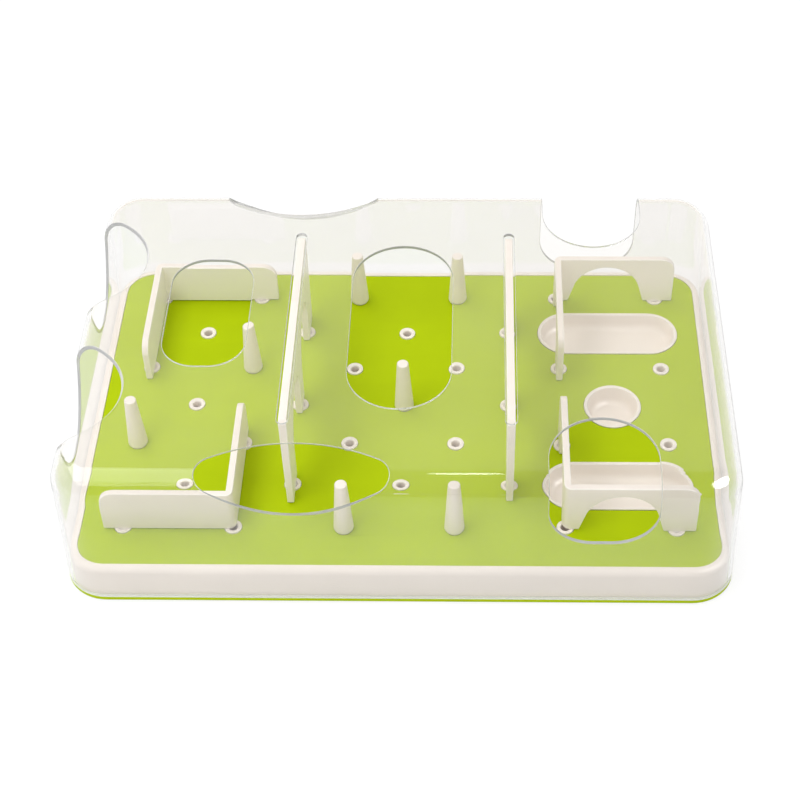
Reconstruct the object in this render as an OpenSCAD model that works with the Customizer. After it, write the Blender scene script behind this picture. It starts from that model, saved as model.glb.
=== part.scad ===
// Puzzle feeder for a cat: a clear lift-off cover with paw openings stands over a tray
// with rows of sockets, in which pegs, corner walls and two dividers are plugged.
// Millimetres, +Z up, +Y to the back; the origin is on the table under the middle of the base.

/* [Base] */
// Length of the footprint, left to right
base_w = 387; // [378:1:400]
// Depth of the footprint, front to back
base_d = 259; // [254:1:275]
// Corner radius of the footprint
corner_r = 25.5; // [24:0.5:27]
// Height of the playing floor above the table
floor_z = 25; // [24:0.5:30]
// Thickness of the plate that closes the base
plate_t = 2.4; // [2:0.1:3]
// How far the rubber feet lift the plate
foot_rise = 1; // [0.6:0.1:1.6]
// Diameter of a rubber foot
foot_d = 18; // [12:1:24]

/* [Tray] */
// Thickness of the tray's skirt and deck
tray_t = 2.2; // [1.8:0.1:2.6]
// Thickness of the floor panel let into the tray
panel_t = 1.6; // [1.2:0.1:2]
// Radius of the tray's rounded rim
rim_r = 3.8; // [3:0.1:4.2]
// Width of the rim beside the floor panel
rim_w = 5.8; // [5.2:0.1:6.6]
// Height of the rim, the troughs' lips and the cup's lip above the floor
rim_rise = 0.5; // [0.3:0.1:0.8]
// Outside diameter of a socket
socket_d = 10; // [9:0.5:12]
// Height of a socket's ring above the floor
socket_rise = 0.8; // [0.6:0.1:1.2]
// Spacing of the sockets along a row
pitch = 64; // [60:0.5:66]
// How far the rows are set back from the middle of the base
field_y = 2.3; // [0:0.1:4]

/* [Troughs and cup] */
// Length of a trough over its lip
trough_l = 89; // [76:1:92]
// Width of a trough over its lip
trough_w = 37; // [30:1:40]
// Depth of a trough below the floor
trough_deep = 9; // [7:0.5:11]
// Diameter of the cup over its lip
cup_d = 35; // [30:1:40]
// Depth of the cup below the floor
cup_deep = 10; // [7:0.5:11]
// Width of the lips
lip_w = 2; // [1.6:0.1:2.5]

/* [Pegs] */
// Height of a peg above the floor
peg_h = 37.5; // [28:0.5:44]
// Diameter of a peg at its foot
peg_d = 11.8; // [10.4:0.2:13]
// Lean of a peg's side, in degrees
peg_lean = 3.8; // [2:0.1:4.4]
// Radius of the rounded edge of a peg's top
peg_round = 0.7; // [0.4:0.1:1.4]
// Diameter of the pins that plug into the sockets
pin_d = 4.9; // [4.4:0.1:5.4]
// Gap round a pin in its socket
pin_gap = 0.05; // [0.02:0.01:0.1]
// Length of a pin
pin_l = 12; // [8:0.5:13]

/* [Corner walls] */
// Thickness of a corner wall
wall_t = 4; // [3:0.1:4.6]
// Height of the plain walls above the floor
wall_h = 29; // [22:0.5:34]
// Height of the arched walls above the floor
arch_wall_h = 36; // [33:0.5:40]
// How far a wall runs on past its end socket
wall_end = 11; // [8:0.5:13]
// Radius of the top corner at a wall's end
wall_corner = 9; // [5:0.5:12]
// Radius of the upright corner between the two legs
wall_turn = 4.5; // [3.8:0.1:5]
// Width of an arch at its foot
arch_w = 49; // [45:0.5:50]
// Height of an arch above the floor
arch_h = 29.3; // [26:0.1:31]
// Radius of an arch
arch_r = 21.5; // [19:0.1:22]

/* [Dividers] */
// Thickness of a divider at its foot
divider_t = 4; // [3.4:0.1:4.6]
// Thickness of a divider at its top
divider_top = 4.8; // [4:0.1:5.2]
// How far a divider runs on past its end pins
divider_end = 15; // [8:0.5:16]
// Radius of a divider's top corners
divider_corner = 4; // [2:0.5:8]
// Radius of the tunnels through a divider
tunnel_r = 24; // [20:0.5:25]
// Height of the tunnels above the floor
tunnel_h = 48; // [40:0.5:54]

/* [Cover] */
// Height of the cover's top above the table
cover_z = 95.8; // [92:0.1:106]
// Thickness of the clear sheet
cover_t = 2; // [1.6:0.1:2.2]
// Radius of the bend between the cover's sides and top
cover_bend = 16; // [12:0.5:18]
// Lean of the cover's sides, in degrees
draft = 1.9; // [1.5:0.1:3]
// Width of the slots for the dividers
slot_w = 6.5; // [5.8:0.1:7]
// Room at each end of a slot
slot_room = 1.2; // [1:0.1:4]

/* [Top openings] */
// Width of the middle opening
middle_w = 60; // [50:1:70]
// Length of the middle opening
middle_l = 137; // [110:0.5:150]
// Width of the left opening
left_w = 49; // [42:0.5:54]
// Length of the left opening
left_l = 91; // [70:0.5:100]
// Corner radius of the left opening
left_r = 20.5; // [12:0.5:20.5]
// Distance of the left opening from the middle
left_x = 114.6; // [110:0.2:118]
// How far the left opening is set back
left_y = 12.4; // [6:0.1:18]

/* [Doors over the front and back edges] */
// Width of the two doors at the right
door_w = 60.5; // [54:0.5:66]
// Radius of the doors' lower corners
door_r = 25; // [16:0.5:26]
// Distance of the front door from the middle
front_door_x = 114.2; // [108:0.1:120]
// How far the front door leaves the top standing
front_door_dip = 73; // [70:0.1:76]
// Height of the front door's sill above the table
front_door_sill = 52.5; // [46:0.1:58]
// Distance of the back door from the middle
back_door_x = 115.8; // [108:0.1:120]
// How far the back door leaves the top standing
back_door_dip = 71; // [68:0.1:75]
// Height of the back door's sill above the table
back_door_sill = 26.5; // [20:0.1:34]

/* [Ovals over the front and back edges] */
// Length of the front oval
front_oval_l = 106.5; // [96:0.5:112]
// Distance of the front oval from the middle
front_oval_x = 56; // [50:1:62]
// How far the front oval leaves the top standing
front_oval_dip = 93.1; // [89:0.1:97]
// Height of the front oval's sill above the table
front_oval_sill = 76.5; // [70:0.1:79]
// Length of the back oval
back_oval_l = 94.5; // [86:0.5:104]
// Distance of the back oval from the middle
back_oval_x = 66; // [60:1:72]
// How far the back oval leaves the top standing
back_oval_dip = 100.4; // [97:0.1:103]
// Height of the back oval's sill above the table
back_oval_sill = 72; // [66:0.1:79]
// Radius of the ovals' ends
oval_end_r = 10.5; // [8:0.5:12]

/* [Scoops over the left edge] */
// Radius of the two scoops
scoop_r = 43.5; // [40:0.5:46]
// Distance between the scoops' middles
scoop_apart = 110; // [102:1:114]
// How far the scoops leave the top standing
scoop_dip = 156.3; // [154:0.1:160]
// Height of the scoops' sills above the table
scoop_sill = 43.5; // [40:0.5:50]

/* [Hidden] */
$fn = 96;

lime = [0.66, 0.77, 0.06];
white = [0.93, 0.91, 0.87];
clear = [0.85, 0.9, 0.9, 0.35];
black = [0.1, 0.1, 0.1];

// The rectangle inside the rounded corners, from which every edge profile is measured
core_x = base_w / 2 - corner_r;
core_y = base_d / 2 - corner_r;

// Heights of the stacked layers
plate_z = foot_rise + plate_t;
deck_z = floor_z - panel_t;
seat_z = floor_z + socket_rise;
rim_z = floor_z + rim_rise;

// The tray stands inside the cover, the panel inside the tray's rim
stand_gap = 0.5;
tray_x = corner_r - cover_t / cos(draft) - stand_gap;
inlay_gap = 0.15;
panel_x = tray_x - rim_w;
rib_t = 1.8;
rib_h = 5;
rib_x = tray_x - tray_t / cos(draft) - 0.3;

// Sockets: the pegs' holes and the tubes round them
socket_r = pin_d / 2 + pin_gap;
socket_deep = 14;
socket_floor = 1.6;
socket_lead = 0.7;

// Places in the field: even rows have six sockets, odd rows four and a trough or the cup
function at(col, row) = [(col - 2.5) * pitch, field_y - (row - 3) * pitch / 2];
sockets = [for (row = [0:6]) for (col = [0:5])
    if (row % 2 == 0 || col < 4) at(col + (row % 2) / 2, row)];
troughs = [at(4.5, 1), at(4.5, 5)];
cup = at(4.5, 3);
trough_core = (trough_l - trough_w) / 2;
bowl_lean = 14;
bowl_bend = 5;

// Divider length and the inset of the cover's sides at a height
divider_half = pitch + divider_end;
divider_z = cover_z - 0.8;
function inset(z) = (z - plate_z) * tan(draft);

// 2D rectangle with rounded corners, about the origin
module rounded(w, d, r) {
    if (w > 2 * r) square([w - 2 * r, d], center = true);
    if (d > 2 * r) square([w, d - 2 * r], center = true);
    for (x = [-1, 1], y = [-1, 1]) translate([x * (w / 2 - r), y * (d / 2 - r)]) circle(r);
}

// 2D oval of four tangent arcs: half length a, half width b, end radius r
module oval(a, b, r) {
    side_r = (pow(a - r, 2) + b * b - r * r) / (2 * (b - r));
    meet = (a - r) * (1 + r / (side_r - r));
    intersection() {
        square([2 * meet, 2 * b], center = true);
        translate([0, b - side_r]) circle(side_r, $fn = 360);
        translate([0, side_r - b]) circle(side_r, $fn = 360);
    }
    for (s = [-1, 1]) translate([s * (a - r), 0]) circle(r);
}

// 2D half section of an edge: a side that leans in from x_low and rolls over into a flat top
module edge(x_low, z_low, z_top, bend, lean, x_in = 0) {
    roll_z = z_top - bend;
    meet_z = roll_z + bend * sin(lean);
    meet_x = x_low - (meet_z - z_low) * tan(lean);
    roll_x = meet_x - bend * cos(lean);
    polygon([[x_in, z_low], [x_low, z_low], [meet_x, meet_z], [roll_x, roll_z],
        [roll_x, z_top], [x_in, z_top]]);
    translate([roll_x, roll_z]) intersection() {
        circle(bend);
        square(bend);
    }
}

// Sweeps a half section round a rounded rectangle with its corner centres at half_x, half_y
module around(half_x, half_y) {
    for (turn = [0, 180]) rotate([0, 0, turn]) {
        if (half_y > 0)
            translate([half_x, half_y, 0]) rotate([90, 0, 0]) linear_extrude(2 * half_y) children();
        translate([-half_x, half_y, 0]) rotate([90, 0, 90]) linear_extrude(2 * half_x) children();
        translate([half_x, half_y, 0]) rotate_extrude(angle = 90) children();
        translate([-half_x, half_y, 0]) rotate([0, 0, 90]) rotate_extrude(angle = 90) children();
    }
}

// Fills the middle of a swept edge
module middle(half_x, half_y, z_low, z_top) {
    translate([-half_x, -half_y, z_low]) cube([2 * half_x, 2 * half_y, z_top - z_low]);
}

// 2D half section of a bowl hanging down from the lip
module bowl_section(mouth_r, deep, bend) {
    translate([0, rim_z]) mirror([0, 1]) edge(mouth_r, 0, deep, bend, bowl_lean);
}

module base_plate() {
    color(lime) difference() {
        union() {
            translate([0, 0, foot_rise]) linear_extrude(plate_t) rounded(base_w, base_d, corner_r);
            around(core_x, core_y) translate([rib_x - rib_t, plate_z - 0.5]) square([rib_t, rib_h + 0.5]);
        }
        foot_places() cylinder(d = foot_d + 0.2, h = foot_rise + 1);
    }
}

// The four places of the rubber feet
module foot_places() {
    for (x = [-1, 1], y = [-1, 1]) translate([x * (core_x - 16), y * (core_y - 14), 0]) children();
}

module rubber_feet() {
    soft = 0.6;
    color(black) foot_places() {
        cylinder(d1 = foot_d - 2 * soft, d2 = foot_d, h = soft);
        translate([0, 0, soft]) cylinder(d = foot_d, h = foot_rise + 1 - soft);
    }
}

module tray() {
    color(white) difference() {
        union() {
            around(core_x, core_y) tray_section();
            middle(core_x, core_y, deck_z - tray_t, deck_z);
            for (p = sockets) translate([p.x, p.y, floor_z - socket_deep - socket_floor])
                cylinder(d = socket_d, h = socket_deep + socket_floor + socket_rise);
            for (p = troughs) translate(p) around(trough_core, 0)
                bowl_section(trough_w / 2, trough_deep + rim_rise + tray_t, bowl_bend + 1);
            translate(cup) rotate_extrude()
                bowl_section(cup_d / 2, cup_deep + rim_rise + tray_t, bowl_bend + 1);
        }
        for (p = sockets) translate([p.x, p.y, 0]) socket_hole();
        for (p = troughs) translate(p) around(trough_core, 0) bowl_cut(trough_w / 2 - lip_w, trough_deep);
        translate(cup) rotate_extrude() bowl_cut(cup_d / 2 - lip_w, cup_deep);
    }
}

// 2D half section of the tray's skirt, rim and the ledge for the panel
module tray_section() {
    difference() {
        edge(tray_x, plate_z, rim_z, rim_r, draft);
        edge(tray_x - tray_t / cos(draft) + tan(draft), plate_z - 1, deck_z - tray_t, 1.5, draft, -1);
        translate([-1, deck_z]) square([panel_x + inlay_gap + 1, 9]);
    }
}

// 2D half section of the hollow of a bowl, run on above the lip
module bowl_cut(mouth_r, deep) {
    bowl_section(mouth_r, deep + rim_rise, bowl_bend);
    translate([0, rim_z - 0.2]) square([mouth_r - 0.2 * tan(bowl_lean), 1]);
}

// A blind hole with a lead-in, at its height in the tray
module socket_hole() {
    translate([0, 0, floor_z - socket_deep]) cylinder(r = socket_r, h = socket_deep + 5);
    translate([0, 0, seat_z - socket_lead])
        cylinder(r1 = socket_r, r2 = socket_r + 2 * socket_lead, h = 2 * socket_lead);
}

module floor_panel() {
    color(lime) translate([0, 0, deck_z]) linear_extrude(panel_t) difference() {
        rounded(2 * (core_x + panel_x), 2 * (core_y + panel_x), panel_x);
        for (p = sockets) translate(p) circle(d = socket_d + 2 * inlay_gap);
        for (p = troughs) translate(p)
            rounded(trough_l + 2 * inlay_gap, trough_w + 2 * inlay_gap, trough_w / 2 + inlay_gap);
        translate(cup) circle(d = cup_d + 2 * inlay_gap);
    }
}

// 2D half section of the clear sheet
module cover_section() {
    difference() {
        edge(corner_r, plate_z, cover_z, cover_bend, draft);
        edge(corner_r - cover_t / cos(draft) + tan(draft), plate_z - 1, cover_z - cover_t,
            cover_bend - cover_t, draft, -1);
    }
}

module cover() {
    color(clear) difference() {
        union() {
            around(core_x, core_y) cover_section();
            middle(core_x, core_y, cover_z - cover_t, cover_z);
        }
        translate([0, 0, cover_z - cover_t - 1]) linear_extrude(cover_t + 2) {
            translate([0, field_y]) rounded(middle_w, middle_l, middle_w / 2);
            translate([-left_x, left_y]) rounded(left_w, left_l, left_r);
            for (x = [-pitch, pitch]) translate([x, field_y])
                rounded(slot_w, 2 * (divider_half + slot_room), slot_w / 2);
        }
        mirror([0, 1, 0]) door(front_door_x, front_door_dip, front_door_sill);
        door(back_door_x, back_door_dip, back_door_sill);
        mirror([0, 1, 0]) over_edge(-front_oval_x, base_d / 2, front_oval_dip, front_oval_sill)
            oval_cut(front_oval_l, base_d / 2, front_oval_dip, front_oval_sill);
        over_edge(-back_oval_x, base_d / 2, back_oval_dip, back_oval_sill)
            oval_cut(back_oval_l, base_d / 2, back_oval_dip, back_oval_sill);
        rotate([0, 0, 90]) for (s = [-1, 1])
            over_edge(field_y + s * scoop_apart / 2, base_w / 2, scoop_dip, scoop_sill)
                translate([0, 0, scoop_r]) rotate([90, 0, 0])
                    cylinder(r = scoop_r, h = 160, center = true, $fn = 180);
    }
}

// Cuts a door through the top and the side at +Y: a round end in the top, a sill in the side
module door(x, dip, sill) {
    reach = 40;
    translate([x, dip + door_w / 2, cover_z - cover_bend - 2]) linear_extrude(cover_bend + 4) {
        circle(d = door_w);
        translate([-door_w / 2, 0]) square([door_w, reach + door_w / 2]);
    }
    rise = cover_z + 40 - sill;
    translate([x, core_y + 2.5 + reach, sill + rise / 2]) rotate([90, 0, 0])
        linear_extrude(reach) rounded(door_w, rise, door_r);
}

// The straight line across an edge at +Y, from the dip in the top to the sill in the side
function across(half, dip, sill) = [half - inset(sill) - dip, cover_z - sill];

// Puts children on that line, with their Y along it and their Z outwards
module over_edge(x, half, dip, sill) {
    line = across(half, dip, sill);
    translate([x, dip + line.x / 2, sill + line.y / 2])
        rotate([-atan2(line.y, line.x), 0, 0]) children();
}

module oval_cut(len, half, dip, sill) {
    translate([0, 0, -16]) linear_extrude(50) oval(len / 2, norm(across(half, dip, sill)) / 2, oval_end_r);
}

// A pin below the seat, with a chamfered tip
module pin() {
    tip = 0.6;
    translate([0, 0, seat_z - pin_l]) {
        cylinder(d1 = pin_d - 2 * tip, d2 = pin_d, h = tip);
        translate([0, 0, tip]) cylinder(d = pin_d, h = pin_l - tip);
    }
}

module peg(col, row) {
    color(white) translate(at(col, row)) {
        rotate_extrude() edge(peg_d / 2, seat_z, floor_z + peg_h, peg_round, peg_lean);
        pin();
    }
}

// 2D leg of a corner wall: x runs from the turn to the end, y is height
module leg(top_z, arched) {
    run = pitch + wall_end + wall_t / 2;
    difference() {
        translate([-wall_t / 2, seat_z]) union() {
            square([run, top_z - seat_z - wall_corner]);
            square([run - wall_corner, top_z - seat_z]);
            translate([run - wall_corner, top_z - seat_z - wall_corner]) circle(wall_corner);
        }
        if (arched) translate([pitch / 2, floor_z]) arch();
    }
}

// 2D arch: a round head whose tangents spread to the foot
module arch() {
    head_z = arch_h - arch_r;
    reach = norm([arch_w / 2, head_z]);
    meet = acos(arch_r / reach) - atan2(head_z, arch_w / 2);
    meet_x = arch_r * cos(meet);
    meet_z = head_z + arch_r * sin(meet);
    foot_x = arch_w / 2 + 2 * tan(meet);
    translate([0, head_z]) circle(arch_r);
    polygon([[-foot_x, -2], [foot_x, -2], [meet_x, meet_z], [-meet_x, meet_z]]);
}

// A wall with two legs at right angles; turn picks the quarter that the legs enclose
module corner_wall(col, row, turn, top_z, arched) {
    color(white) translate(at(col, row)) rotate([0, 0, turn]) {
        difference() {
            union() {
                translate([0, wall_t / 2, 0]) rotate([90, 0, 0]) linear_extrude(wall_t) leg(top_z, arched);
                translate([-wall_t / 2, 0, 0]) rotate([90, 0, 90]) linear_extrude(wall_t) leg(top_z, arched);
            }
            translate([-wall_t / 2, -wall_t / 2, floor_z]) linear_extrude(top_z) difference() {
                translate([-1, -1]) square(wall_turn + 1);
                translate([wall_turn, wall_turn]) circle(wall_turn);
            }
        }
        translate([pitch, 0, 0]) pin();
        translate([0, pitch, 0]) pin();
    }
}

module divider(col) {
    high = divider_z - seat_z;
    color(white) translate(at(col, 3)) {
        difference() {
            translate([0, divider_half, seat_z]) rotate([90, 0, 0]) linear_extrude(2 * divider_half)
                polygon([[-divider_t / 2, 0], [divider_t / 2, 0],
                    [divider_top / 2, high], [-divider_top / 2, high]]);
            translate([-10, 0, 0]) rotate([90, 0, 90]) linear_extrude(20) {
                for (s = [-1, 1]) translate([s * pitch / 2, floor_z]) tunnel();
                for (s = [0, 1]) mirror([s, 0]) top_corner();
            }
        }
        for (s = [-1, 0, 1]) translate([0, s * pitch, 0]) pin();
    }
}

// 2D opening under a divider
module tunnel() {
    translate([0, tunnel_h - tunnel_r]) circle(tunnel_r);
    translate([-tunnel_r, -1]) square([2 * tunnel_r, tunnel_h - tunnel_r + 1]);
}

// 2D waste outside a divider's rounded top corner
module top_corner() {
    translate([divider_half - divider_corner, divider_z - divider_corner]) difference() {
        square(divider_corner + 1);
        circle(divider_corner);
    }
}

base_plate();
rubber_feet();
tray();
floor_panel();
cover();
divider(1.5);  // divider_left
divider(3.5);  // divider_right
corner_wall(0, 0, -90, floor_z + wall_h, false);  // wall_back_left
corner_wall(1, 6, 90, floor_z + wall_h, false);  // wall_front_left
corner_wall(4, 0, -90, floor_z + arch_wall_h, true);  // arch_wall_back_right
corner_wall(4, 6, 0, floor_z + arch_wall_h, true);  // arch_wall_front_right
peg(2, 0);  // peg_back_left
peg(3, 0);  // peg_back_right
peg(1, 2);  // peg_left_rear
peg(0, 4);  // peg_left_front
peg(2.5, 3);  // peg_centre
peg(2, 6);  // peg_front_left
peg(3, 6);  // peg_front_right
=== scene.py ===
"""Dresses the puzzle feeder: pieces with rounded edges, their finishes, and a photo stage."""

import math

import bpy
from mathutils import Matrix, Vector


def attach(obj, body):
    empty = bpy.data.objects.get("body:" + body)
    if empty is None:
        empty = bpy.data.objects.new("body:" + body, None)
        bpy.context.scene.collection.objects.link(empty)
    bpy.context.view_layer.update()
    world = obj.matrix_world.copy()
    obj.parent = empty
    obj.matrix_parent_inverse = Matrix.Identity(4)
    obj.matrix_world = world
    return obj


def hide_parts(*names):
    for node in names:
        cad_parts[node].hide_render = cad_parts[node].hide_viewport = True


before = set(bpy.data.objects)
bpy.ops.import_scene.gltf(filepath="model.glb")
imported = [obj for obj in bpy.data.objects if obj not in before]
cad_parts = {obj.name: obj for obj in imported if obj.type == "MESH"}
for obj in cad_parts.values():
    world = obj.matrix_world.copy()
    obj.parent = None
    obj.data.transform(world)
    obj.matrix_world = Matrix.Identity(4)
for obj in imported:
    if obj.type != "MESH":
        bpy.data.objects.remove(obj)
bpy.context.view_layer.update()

# Gaps and angles of the modelling steps.
JOIN_GAP = 1e-6
FLAT_ANGLE = math.radians(0.05)
SHARP_ANGLE = math.radians(32)
SMOOTH_ANGLE = math.radians(50)

# How strongly the plastics bend light, and what the clear sheet lets through unbent.
MOULDED_IOR = 1.5
CLEAR_IOR = 1.49
CLEAR_PASS = (0.965, 0.967, 0.965, 1.0)

# Heights between which the cover's pale foot ends. The pale foot is a painted highlight: it stands in for
# the bright lower edge of the cover and lightens the shadow in the gap there.
PAINTED_HIGHLIGHT_FOOT = (0.0046, 0.0056)

# The floor's size, its colour in bounced light and its colour where it takes shade to the eye.
FLOOR_RADIUS = 6.0
FLOOR_PLAIN = (0.86, 0.86, 0.86, 1.0)
FLOOR_SHADED = (0.2, 0.2, 0.2, 1.0)

# Tones of the world: plain, and as gloss shows it.
PLAIN_TONE = (1.0, 1.0, 1.0, 1.0)
GLOSS_TONE = (1.0, 0.92, 0.8, 1.0)

SENSOR_MM = 36.0

bl_info = {
    "name": "Puzzle Feeder Dressing",
    "version": (1, 0, 0),
    "blender": (4, 5, 0),
    "location": "View3D > Sidebar > Feeder",
    "description": "Rounded pieces, finishes and a photo stage for a puzzle feeder",
    "category": "Object",
}


class FeederShapes(bpy.types.PropertyGroup):
    """Sizes of what is shaped here and not in the solids."""

    moulded_edge: bpy.props.FloatProperty(
        name="Moulded edge",
        description="Radius of the edges of walls and dividers",
        default=0.0006,
        unit="LENGTH",
        min=0,
    )
    tray_edge: bpy.props.FloatProperty(
        name="Tray edge",
        description="Radius of the edges of the tray, the floor panel and the base plate",
        default=0.0003,
        unit="LENGTH",
        min=0,
    )
    cover_edge: bpy.props.FloatProperty(
        name="Cover edge",
        description="Radius of the polished edges round the cover's openings",
        default=0.0003,
        unit="LENGTH",
        min=0,
    )
    cover_sheet: bpy.props.FloatProperty(
        name="Cover sheet",
        description="Thickness of the cover",
        default=0.002,
        unit="LENGTH",
        min=0.0005,
    )
    cover_bend: bpy.props.FloatProperty(
        name="Cover bend",
        description="Radius of the bend between the cover's sides and top",
        default=0.016,
        unit="LENGTH",
        min=0.004,
    )
    cover_corner: bpy.props.FloatProperty(
        name="Cover corner",
        description="Radius of the cover's upright corners at the foot",
        default=0.0255,
        unit="LENGTH",
        min=0.02,
    )
    cover_lean: bpy.props.FloatProperty(
        name="Cover lean",
        description="How far the cover's sides lean inwards",
        default=math.radians(1.9),
        unit="ROTATION",
        min=0,
    )


class FeederFinishes(bpy.types.PropertyGroup):
    """Colours and surface of the plastics and rubber."""

    lime: bpy.props.FloatVectorProperty(
        name="Lime",
        description="Colour of the floor panel and the base plate",
        default=(0.418, 0.543, 0.001),
        subtype="COLOR",
        min=0,
        max=1,
    )
    white: bpy.props.FloatVectorProperty(
        name="Warm white",
        description="Colour of the tray and of everything plugged into it",
        default=(0.85, 0.78, 0.71),
        subtype="COLOR",
        min=0,
        max=1,
    )
    clear: bpy.props.FloatVectorProperty(
        name="Clear",
        description="Tint of the cover's sheet",
        default=(0.93, 0.926, 0.922),
        subtype="COLOR",
        min=0,
        max=1,
    )
    rubber: bpy.props.FloatVectorProperty(
        name="Rubber",
        description="Colour of the feet",
        default=(0.025, 0.025, 0.027),
        subtype="COLOR",
        min=0,
        max=1,
    )


class FeederStage(bpy.types.PropertyGroup):
    """Camera, light and floor."""

    camera_place: bpy.props.FloatVectorProperty(
        name="Camera",
        description="Where the camera stands",
        default=(0.0437, -0.7352, 0.8028),
        subtype="XYZ",
        unit="LENGTH",
    )
    camera_turn: bpy.props.FloatVectorProperty(
        name="Camera turn",
        description="Pitch down, yaw and roll of the camera",
        default=(math.radians(46.299), math.radians(1.678), math.radians(0.982)),
        subtype="EULER",
    )
    lens: bpy.props.FloatProperty(
        name="Lens",
        description="Focal length on a 36 mm sensor, in millimetres",
        default=78.27,
        min=1,
    )
    shift: bpy.props.FloatProperty(
        name="Shift",
        description="Sideways shift of the picture in the frame",
        default=-0.05,
    )
    sky: bpy.props.FloatProperty(
        name="Sky light",
        description="Strength of the even light from all around",
        default=0.68,
        min=0,
    )
    top: bpy.props.FloatProperty(
        name="Top light",
        description="Strength that the sky gains straight overhead",
        default=0.35,
        min=0,
    )
    front: bpy.props.FloatProperty(
        name="Front light",
        description="Strength that the sky gains towards the front",
        default=0.1,
        min=0,
    )
    dim_side: bpy.props.FloatProperty(
        name="Dim side",
        description="Brightness of the studio in gloss, away from the backdrop",
        default=0.55,
        min=0,
    )
    floor_white: bpy.props.FloatProperty(
        name="Floor white",
        description="White of the floor to the eye, before its shade",
        default=0.82,
        min=0,
    )
    backdrop: bpy.props.FloatProperty(
        name="Backdrop",
        description="Brightness of the backdrop in gloss",
        default=1.65,
        min=0,
    )


class Wire:
    """A shader socket in a Python expression; each operator adds the Math node that works it out."""

    def __init__(self, finish, socket):
        self.finish = finish
        self.socket = socket

    def math(self, operation, *terms):
        return self.finish.add("ShaderNodeMath", {"operation": operation}, dict(enumerate(terms)))

    def __add__(self, other):
        return self.math("ADD", self, other)

    __radd__ = __add__

    def __mul__(self, other):
        return self.math("MULTIPLY", self, other)

    __rmul__ = __mul__

    def __sub__(self, other):
        return self.math("SUBTRACT", self, other)

    def __rsub__(self, other):
        return self.math("SUBTRACT", other, self)

    def at_least(self, other):
        return self.math("MAXIMUM", self, other)

    def fade(self, start, end):
        """0 up to start, 1 from end on, smooth between."""
        return self.finish.add(
            "ShaderNodeMapRange",
            {"interpolation_type": "SMOOTHSTEP"},
            {"Value": self, "From Min": start, "From Max": end},
        )


class Finish:
    """A node tree while it is made; add() makes any node, sets it and links it."""

    def __init__(self, owner):
        self.owner = owner
        owner.use_nodes = True
        self.tree = owner.node_tree
        self.tree.nodes.clear()

    def add(self, kind, settings=None, sockets=None, output=0):
        node = self.tree.nodes.new(kind)
        for name, value in (settings or {}).items():
            setattr(node, name, value)
        for name, value in (sockets or {}).items():
            if isinstance(value, Wire):
                self.tree.links.new(value.socket, node.inputs[name])
            else:
                node.inputs[name].default_value = value
        return Wire(self, node.outputs[output]) if node.outputs else None

    def place(self, stretch=(1.0, 1.0, 1.0)):
        """Object coordinates, stretched along the axes."""
        spot = self.add("ShaderNodeTexCoord", output="Object")
        if stretch == (1.0, 1.0, 1.0):
            return spot
        return self.add("ShaderNodeMapping", {}, {"Vector": spot, "Scale": stretch})

    def along(self, vector, axis):
        """One part of a vector, such as its height."""
        return self.add("ShaderNodeSeparateXYZ", {}, {0: vector}, axis)

    def noise(self, place, scale, detail=2.0, roughness=0.5):
        return self.add(
            "ShaderNodeTexNoise",
            {},
            {"Vector": place, "Scale": scale, "Detail": detail, "Roughness": roughness},
        )

    def blend(self, factor, first, second):
        return self.add(
            "ShaderNodeMix", {"data_type": "RGBA"}, {"Factor": factor, 6: first, 7: second}, output=2
        )

    def mark(self, name):
        """The value that an attribute of the mesh holds."""
        return self.add("ShaderNodeAttribute", {"attribute_name": name}, output="Fac")

    def ray(self, kind):
        return self.add("ShaderNodeLightPath", output=kind)

    def seen(self, glossy=False):
        """1 for what the eye sees straight or through a clear sheet, and in gloss where asked."""
        straight = self.ray("Is Camera Ray").at_least(self.ray("Is Transmission Ray"))
        return straight.at_least(self.ray("Is Glossy Ray")) if glossy else straight

    def bump(self, height, strength, distance):
        return self.add(
            "ShaderNodeBump",
            {},
            {"Strength": strength, "Distance": distance, "Height": height},
            "Normal",
        )

    def plastic(self, **sockets):
        named = {name.replace("_", " "): value for name, value in sockets.items()}
        return self.add("ShaderNodeBsdfPrincipled", {}, named)

    def end(self, surface, kind="ShaderNodeOutputMaterial"):
        self.add(kind, {}, {"Surface": surface})
        return self.owner


def rgb(colour, gain=1.0):
    return (*(min(1.0, channel * gain) for channel in colour), 1.0)


def moulded_plastic(name, colour, worn, gloss, specular):
    """Satin moulded plastic: clouds, flow streaks and specks, fine grain, paler edges and scuffed gloss."""
    f = Finish(bpy.data.materials.new(name))
    place = f.place()
    edge = f.mark("edge")
    cloud = f.noise(place, 22.0, 3.0, 0.55).fade(0.3, 0.7)
    flow = f.noise(f.place((9.0, 60.0, 60.0)), 1.0, 2.0).fade(0.35, 0.65)
    speck = f.noise(place, 900.0, 1.0).fade(0.68, 0.76)
    base = f.blend(cloud * 0.6 + flow * 0.4, rgb(colour, 0.965), rgb(colour, 1.03))
    base = f.blend(edge * 0.5, base, rgb(worn))
    base = f.blend(speck * 0.12, base, rgb(colour, 0.75))
    scratch = f.noise(f.place((40.0, 900.0, 300.0)), 1.0, 3.0, 0.6).fade(0.6, 0.7)
    scuff = f.noise(place, 160.0, 4.0, 0.7).fade(0.45, 0.75)
    grain = f.noise(place, 2600.0, 1.0)
    shader = f.plastic(
        Base_Color=base,
        Roughness=gloss + scuff * 0.08 + scratch * 0.06 - edge * 0.06,
        IOR=MOULDED_IOR,
        Specular_IOR_Level=specular,
        Normal=f.bump(grain, 0.25, 0.00003),
    )
    return f.end(shader)


def see_through(f, sheet):
    """Lets lamps and the light that bounces between pieces pass through a clear sheet unbent."""
    through = f.add("ShaderNodeBsdfTransparent", {}, {"Color": CLEAR_PASS})
    bounced = f.add("ShaderNodeMixShader", {}, {0: f.ray("Is Diffuse Ray"), 1: sheet, 2: through})
    return f.add("ShaderNodeMixShader", {}, {0: f.ray("Is Shadow Ray"), 1: bounced, 2: through})


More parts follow.
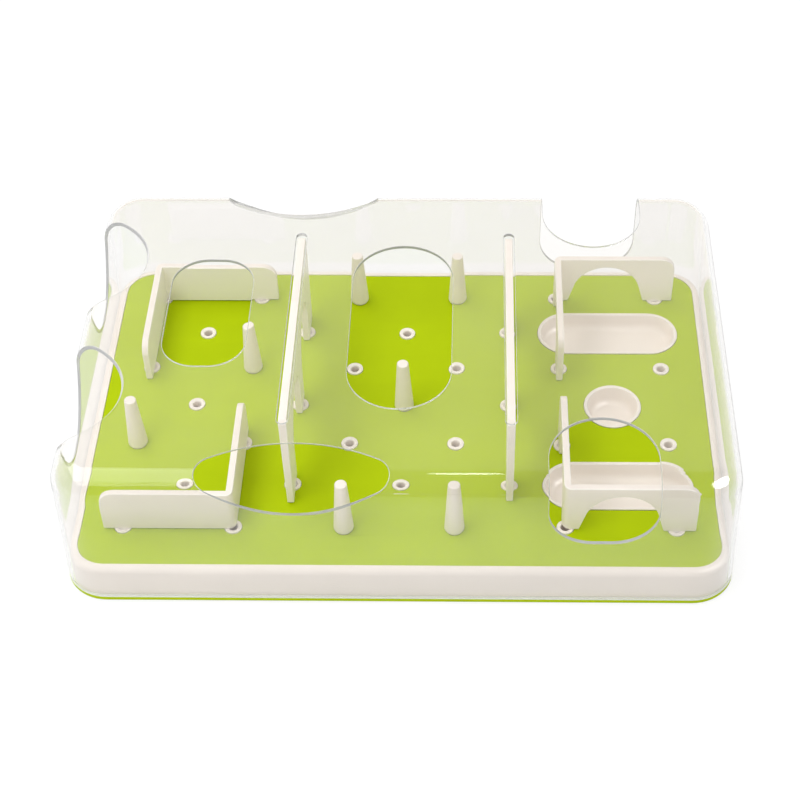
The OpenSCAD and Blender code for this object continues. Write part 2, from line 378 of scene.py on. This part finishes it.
def clear_sheet(settings):
    """Clear polished plastic with faint clouds, hairline scratches and a pale foot, which is a painted
    highlight that lightens the shadow in the gap at the cover's lower edge.
    """
    f = Finish(bpy.data.materials.new("clear sheet"))
    place = f.place()
    hair = f.noise(f.place((60.0, 1400.0, 1400.0)), 1.0, 2.0, 0.6).fade(0.66, 0.72)
    worn = f.noise(place, 18.0, 2.0).fade(0.5, 0.7)
    cloud = f.noise(place, 14.0, 3.0, 0.5).fade(0.3, 0.7)
    glass = f.plastic(
        Base_Color=rgb(settings.clear),
        Roughness=0.015,
        IOR=CLEAR_IOR,
        Transmission_Weight=1.0,
    )
    haze_and_painted_light = f.plastic(Base_Color=(0.93, 0.92, 0.93, 1.0), Roughness=0.3, IOR=CLEAR_IOR)
    # painted highlight: below the foot heights the sheet turns mostly to pale haze, which lightens the gap
    # shadow at the cover's lower edge
    foot = 1 - f.along(place, "Z").fade(*PAINTED_HIGHLIGHT_FOOT)
    share = 0.006 + cloud * 0.008 + hair * worn * 0.03 + foot * 0.7
    sheet = f.add("ShaderNodeMixShader", {}, {0: share, 1: glass, 2: haze_and_painted_light})
    return f.end(see_through(f, sheet))


def cut_edge(settings):
    """The cut through the clear sheet: polished and a little less even than the faces, and greyer by
    painted shade, a grey layer that stands in for the dark lines that light bending through the cut makes.
    """
    f = Finish(bpy.data.materials.new("cut edge"))
    ripple = f.noise(f.place(), 240.0, 2.0)
    glass = f.plastic(
        Base_Color=rgb(settings.clear, 0.97),
        Roughness=0.08 + ripple * 0.1,
        IOR=CLEAR_IOR,
        Transmission_Weight=1.0,
        Normal=f.bump(ripple, 0.2, 0.0001),
    )
    # painted shade: this grey layer darkens the cut edges in place of the lines that bent light makes there
    haze_and_painted_light = f.plastic(Base_Color=(0.62, 0.62, 0.625, 1.0), Roughness=0.35, IOR=CLEAR_IOR)
    sheet = f.add("ShaderNodeMixShader", {}, {0: 0.6 + ripple * 0.1, 1: glass, 2: haze_and_painted_light})
    return f.end(see_through(f, sheet))


def foot_rubber(settings):
    """Matt rubber, dusty where it has stood."""
    f = Finish(bpy.data.materials.new("foot rubber"))
    place = f.place()
    dust = f.noise(place, 260.0, 3.0, 0.6).fade(0.5, 0.75)
    base = f.blend(dust * 0.35 + f.mark("edge") * 0.15, rgb(settings.rubber), (0.12, 0.115, 0.11, 1.0))
    shader = f.plastic(
        Base_Color=base,
        Roughness=0.72 + dust * 0.12,
        IOR=MOULDED_IOR,
        Normal=f.bump(f.noise(place, 1800.0, 2.0), 0.4, 0.0001),
    )
    return f.end(shader)


def white_plastic(settings):
    return moulded_plastic("warm white plastic", settings.white, (0.93, 0.90, 0.84), 0.36, 0.4)


def lime_plastic(settings):
    return moulded_plastic("lime plastic", settings.lime, (0.50, 0.64, 0.02), 0.45, 0.06)


def work_on(piece):
    """Opens one piece in edit mode with nothing picked."""
    bpy.ops.object.select_all(action="DESELECT")
    piece.select_set(True)
    bpy.context.view_layer.objects.active = piece
    bpy.ops.object.mode_set(mode="EDIT")
    bpy.ops.mesh.select_mode(type="EDGE")
    bpy.ops.mesh.select_all(action="DESELECT")


def take_over(node, name):
    """A copy of a node's mesh with its corners joined and its flat faces made whole."""
    piece = bpy.data.objects.new(name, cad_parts[node].data.copy())
    bpy.context.scene.collection.objects.link(piece)
    piece.data.materials.clear()
    work_on(piece)
    bpy.ops.mesh.customdata_custom_splitnormals_clear()
    bpy.ops.mesh.select_all(action="SELECT")
    bpy.ops.mesh.remove_doubles(threshold=JOIN_GAP)
    bpy.ops.mesh.dissolve_limited(angle_limit=FLAT_ANGLE)
    bpy.ops.mesh.select_all(action="DESELECT")
    return piece


def round_edges(radius, material=-1):
    """Rounds the sharp edges of the piece in edit mode and marks the new faces."""
    bpy.ops.mesh.select_mode(type="EDGE")
    bpy.ops.mesh.select_all(action="DESELECT")
    bpy.ops.mesh.edges_select_sharp(sharpness=SHARP_ANGLE)
    bpy.ops.mesh.bevel(offset=radius, segments=2, affect="EDGES", clamp_overlap=False, material=material)
    bpy.ops.mesh.select_mode(type="FACE")
    bpy.ops.object.mode_set(mode="OBJECT")
    mesh = bpy.context.object.data
    marks = mesh.attributes.new("edge", "FLOAT", "FACE")
    marks.data.foreach_set("value", [float(face.select) for face in mesh.polygons])


def smooth(piece):
    """Shades a piece smooth, with the large faces ruling the normals beside them."""
    bpy.ops.object.select_all(action="DESELECT")
    piece.select_set(True)
    bpy.context.view_layer.objects.active = piece
    bpy.ops.object.shade_smooth_by_angle(angle=SMOOTH_ANGLE)
    bpy.ops.object.modifier_add(type="WEIGHTED_NORMAL")
    weighted = piece.modifiers[-1]
    weighted.mode = "FACE_AREA_WITH_ANGLE"
    weighted.keep_sharp = True
    bpy.ops.object.modifier_apply(modifier=weighted.name)


class CoverSkin:
    """The cover's true outer and inner skin, which the faces of its mesh only come near to."""

    SAME_WAY = 0.01
    ALONG_SKIN = 0.9

    def __init__(self, mesh, shapes):
        self.shapes = shapes
        self.half = [max(corner.co[axis] for corner in mesh.vertices) for axis in (0, 1)]
        self.top = max(corner.co.z for corner in mesh.vertices)

    def normal(self, spot, facing, eased=False):
        """The normal at a spot on the skin that looks the same way as a face there, or nothing.

        Eased, the bend starts and ends softly, as in a moulded sheet.
        """
        lean = self.shapes.cover_lean
        sweep = math.pi / 2 - lean
        plan = Vector((0.0, 0.0, 0.0))
        for axis in (0, 1):
            past = abs(spot[axis]) - (self.half[axis] - self.shapes.cover_corner)
            plan[axis] = math.copysign(max(past, 0.0), spot[axis])
        plan.normalize()
        for sign, depth in ((1, 0.0), (-1, self.shapes.cover_sheet)):
            rise = 1 - (self.top - depth - spot.z) / (self.shapes.cover_bend - depth)
            turn = math.asin(min(1.0, max(math.sin(lean), rise)))
            if eased:
                share = (turn - lean) / sweep
                turn = lean + sweep * share * share * (3 - 2 * share)
            normal = sign * (plan * math.cos(turn) + Vector((0.0, 0.0, math.sin(turn))))
            if normal.dot(facing) > self.SAME_WAY:
                return normal
        return Vector((0.0, 0.0, 0.0))

    def is_cut(self, face):
        """Whether a face stands across the sheet, as the cuts round the openings do."""
        return self.normal(face.center, face.normal).dot(face.normal) < self.ALONG_SKIN


def true_bends(piece, skin):
    """Gives the cover's skins the normals of even bends."""
    mesh = piece.data
    normals = [corner.vector.copy() for corner in mesh.corner_normals]
    for face in mesh.polygons:
        if face.material_index == 0:
            for corner in face.loop_indices:
                spot = mesh.vertices[mesh.loops[corner].vertex_index].co
                normals[corner] = skin.normal(spot, face.normal, eased=True)
    mesh.normals_split_custom_set(normals)


def stand_for(piece, node, body):
    """Puts a piece in a node's place."""
    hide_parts(node)
    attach(piece, body)


def rounded_copy(node, name, radius, material, body):
    """A copy of a node with rounded edges, finished and in the node's place."""
    piece = take_over(node, name)
    round_edges(radius)
    piece.data.materials.append(material)
    smooth(piece)
    stand_for(piece, node, body)
    return piece


class FEEDER_OT_base(bpy.types.Operator):
    """Make the base plate, the feet, the tray and the floor panel"""

    bl_idname = "feeder.base"
    bl_label = "Base"

    def execute(self, context):
        shapes = context.scene.feeder_shapes
        finishes = context.scene.feeder_finishes
        lime = lime_plastic(finishes)
        white = white_plastic(finishes)
        rubber = foot_rubber(finishes)
        rounded_copy("base_plate", "base_moulding", shapes.tray_edge, lime, "base")
        rounded_copy("floor_panel", "floor_sheet", shapes.tray_edge, lime, "base")
        rounded_copy("tray", "tray_moulding", shapes.tray_edge, white, "base")
        rounded_copy("rubber_feet", "foot_pads", shapes.tray_edge, rubber, "base")
        return {"FINISHED"}


class FEEDER_OT_plugged(bpy.types.Operator):
    """Make the pegs, the walls and the dividers"""

    bl_idname = "feeder.plugged"
    bl_label = "Pegs, walls and dividers"

    def execute(self, context):
        shapes = context.scene.feeder_shapes
        white = white_plastic(context.scene.feeder_finishes)
        for node in list(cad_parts):
            if node.startswith(("peg", "wall", "arch", "divider")):
                rounded_copy(node, node + "_piece", shapes.moulded_edge, white, node)
        return {"FINISHED"}


class FEEDER_OT_cover(bpy.types.Operator):
    """Make the clear cover"""

    bl_idname = "feeder.cover"
    bl_label = "Cover"

    def execute(self, context):
        shapes = context.scene.feeder_shapes
        finishes = context.scene.feeder_finishes
        piece = take_over("cover", "clear_cover")
        piece.data.materials.append(clear_sheet(finishes))
        piece.data.materials.append(cut_edge(finishes))
        bpy.ops.mesh.select_mode(type="FACE")
        bpy.ops.object.mode_set(mode="OBJECT")
        skin = CoverSkin(piece.data, shapes)
        for face in piece.data.polygons:
            face.select = skin.is_cut(face)
        bpy.ops.object.mode_set(mode="EDIT")
        piece.active_material_index = 1
        bpy.ops.object.material_slot_assign()
        round_edges(shapes.cover_edge, material=1)
        smooth(piece)
        true_bends(piece, skin)
        stand_for(piece, "cover", "cover")
        return {"FINISHED"}


class FEEDER_OT_stage(bpy.types.Operator):
    """Set the pale floor, the light and the camera"""

    bl_idname = "feeder.stage"
    bl_label = "Stage"

    def execute(self, context):
        stage = context.scene.feeder_stage
        self.floor(stage)
        self.sky(context.scene, stage)
        self.lamps()
        self.camera(context.scene, stage)
        context.scene.view_settings.view_transform = "Standard"
        return {"FINISHED"}

    def floor(self, stage):
        """A pale floor, white to the eye and in gloss, that keeps some shade."""
        bpy.ops.object.select_all(action="DESELECT")
        bpy.ops.mesh.primitive_circle_add(vertices=96, radius=FLOOR_RADIUS, fill_type="NGON")
        floor = bpy.context.object
        floor.name = "floor"
        f = Finish(bpy.data.materials.new("pale floor"))
        plain = f.add("ShaderNodeBsdfDiffuse", {}, {"Color": FLOOR_PLAIN})
        shaded = f.add("ShaderNodeBsdfDiffuse", {}, {"Color": FLOOR_SHADED})
        glow = f.add("ShaderNodeEmission", {}, {"Strength": stage.floor_white})
        white = f.add("ShaderNodeAddShader", {}, {0: shaded, 1: glow})
        surface = f.add("ShaderNodeMixShader", {}, {0: f.seen(glossy=True), 1: plain, 2: white})
        floor.data.materials.append(f.end(surface))

    def sky(self, scene, stage):
        """White to the eye, brighter overhead; in gloss a warm backdrop behind and a dim room elsewhere."""
        f = Finish(bpy.data.worlds.new("studio"))
        way = f.add("ShaderNodeTexCoord", output="Generated")
        back = f.along(way, "Y")
        up = f.along(way, "Z")
        over = up.at_least(0.0)
        light = stage.sky + over * over * stage.top + (0.0 - back).at_least(0.0) * stage.front
        behind = back.fade(-0.2, 0.2)
        below_top = 1 - up.fade(0.72, 0.82)
        screen = behind * below_top
        room = stage.dim_side + screen * (stage.backdrop - stage.dim_side)
        glossy = f.ray("Is Glossy Ray")
        seen = f.seen()
        strength = light * (1 - glossy) + room * glossy
        strength = strength * (1 - seen) + seen
        tone = f.blend(glossy, PLAIN_TONE, GLOSS_TONE)
        glow = f.add("ShaderNodeBackground", {}, {"Color": tone, "Strength": strength})
        scene.world = f.end(glow, "ShaderNodeOutputWorld")

    def lamps(self):
        """A soft box and a fill for the light, and two lamps that only make glints on the cover."""
        self.lamp("left soft box", (-0.72, 0.34, 1.5), width=0.76, length=1.5, watts=8.0)
        fill = self.lamp("front fill", (-0.42, -0.42, 0.7), width=0.4, length=0.4, watts=1.6)
        fill.visible_glossy = False
        for glint in (
            self.lamp("right box", (0.96, -0.35, 0.95), width=1.0, length=1.0, watts=24.0, tilt=43),
            self.lamp("top strip", (0.03, 0.745, 1.5), width=0.115, length=0.14, watts=0.4),
        ):
            glint.visible_diffuse = False
            glint.data.shape = "ELLIPSE"

    def lamp(self, name, place, width, length, watts, tilt=0):
        """A lamp that hangs face down, tilted to the left by some degrees."""
        bpy.ops.object.select_all(action="DESELECT")
        bpy.ops.object.light_add(type="AREA", location=place, rotation=(0, math.radians(tilt), 0))
        lamp = bpy.context.object
        lamp.name = name
        lamp.data.shape = "RECTANGLE"
        lamp.data.size = width
        lamp.data.size_y = length
        lamp.data.energy = watts
        return lamp

    def camera(self, scene, stage):
        """The camera, as it stood for the photo."""
        bpy.ops.object.select_all(action="DESELECT")
        bpy.ops.object.camera_add(location=stage.camera_place)
        camera = bpy.context.object
        camera.name = "photo camera"
        pitch, yaw, roll = stage.camera_turn
        turn = (
            Matrix.Rotation(yaw, 3, "Z")
            @ Matrix.Rotation(math.radians(90) - pitch, 3, "X")
            @ Matrix.Rotation(-roll, 3, "Z")
        )
        camera.rotation_euler = turn.to_euler()
        camera.data.sensor_width = SENSOR_MM
        camera.data.lens = stage.lens
        camera.data.shift_x = stage.shift
        scene.camera = camera


OPERATORS = (FEEDER_OT_base, FEEDER_OT_plugged, FEEDER_OT_cover, FEEDER_OT_stage)


class FEEDER_PT_panel(bpy.types.Panel):
    """Lists the feeder's pieces and settings"""

    bl_label = "Puzzle feeder"
    bl_idname = "FEEDER_PT_panel"
    bl_space_type = "VIEW_3D"
    bl_region_type = "UI"
    bl_category = "Feeder"

    def draw(self, context):
        for operator in OPERATORS:
            self.layout.operator(operator.bl_idname)
        scene = context.scene
        for group in (scene.feeder_shapes, scene.feeder_finishes, scene.feeder_stage):
            box = self.layout.box()
            for name in group.__annotations__:
                box.prop(group, name)


CLASSES = (FeederShapes, FeederFinishes, FeederStage, *OPERATORS, FEEDER_PT_panel)


def register():
    for cls in CLASSES:
        bpy.utils.register_class(cls)
    bpy.types.Scene.feeder_shapes = bpy.props.PointerProperty(type=FeederShapes)
    bpy.types.Scene.feeder_finishes = bpy.props.PointerProperty(type=FeederFinishes)
    bpy.types.Scene.feeder_stage = bpy.props.PointerProperty(type=FeederStage)


def unregister():
    del bpy.types.Scene.feeder_stage
    del bpy.types.Scene.feeder_finishes
    del bpy.types.Scene.feeder_shapes
    for cls in reversed(CLASSES):
        bpy.utils.unregister_class(cls)


def main():
    register()
    bpy.ops.feeder.base()
    bpy.ops.feeder.plugged()
    bpy.ops.feeder.cover()
    bpy.ops.feeder.stage()


if __name__ == "__main__":
    main()
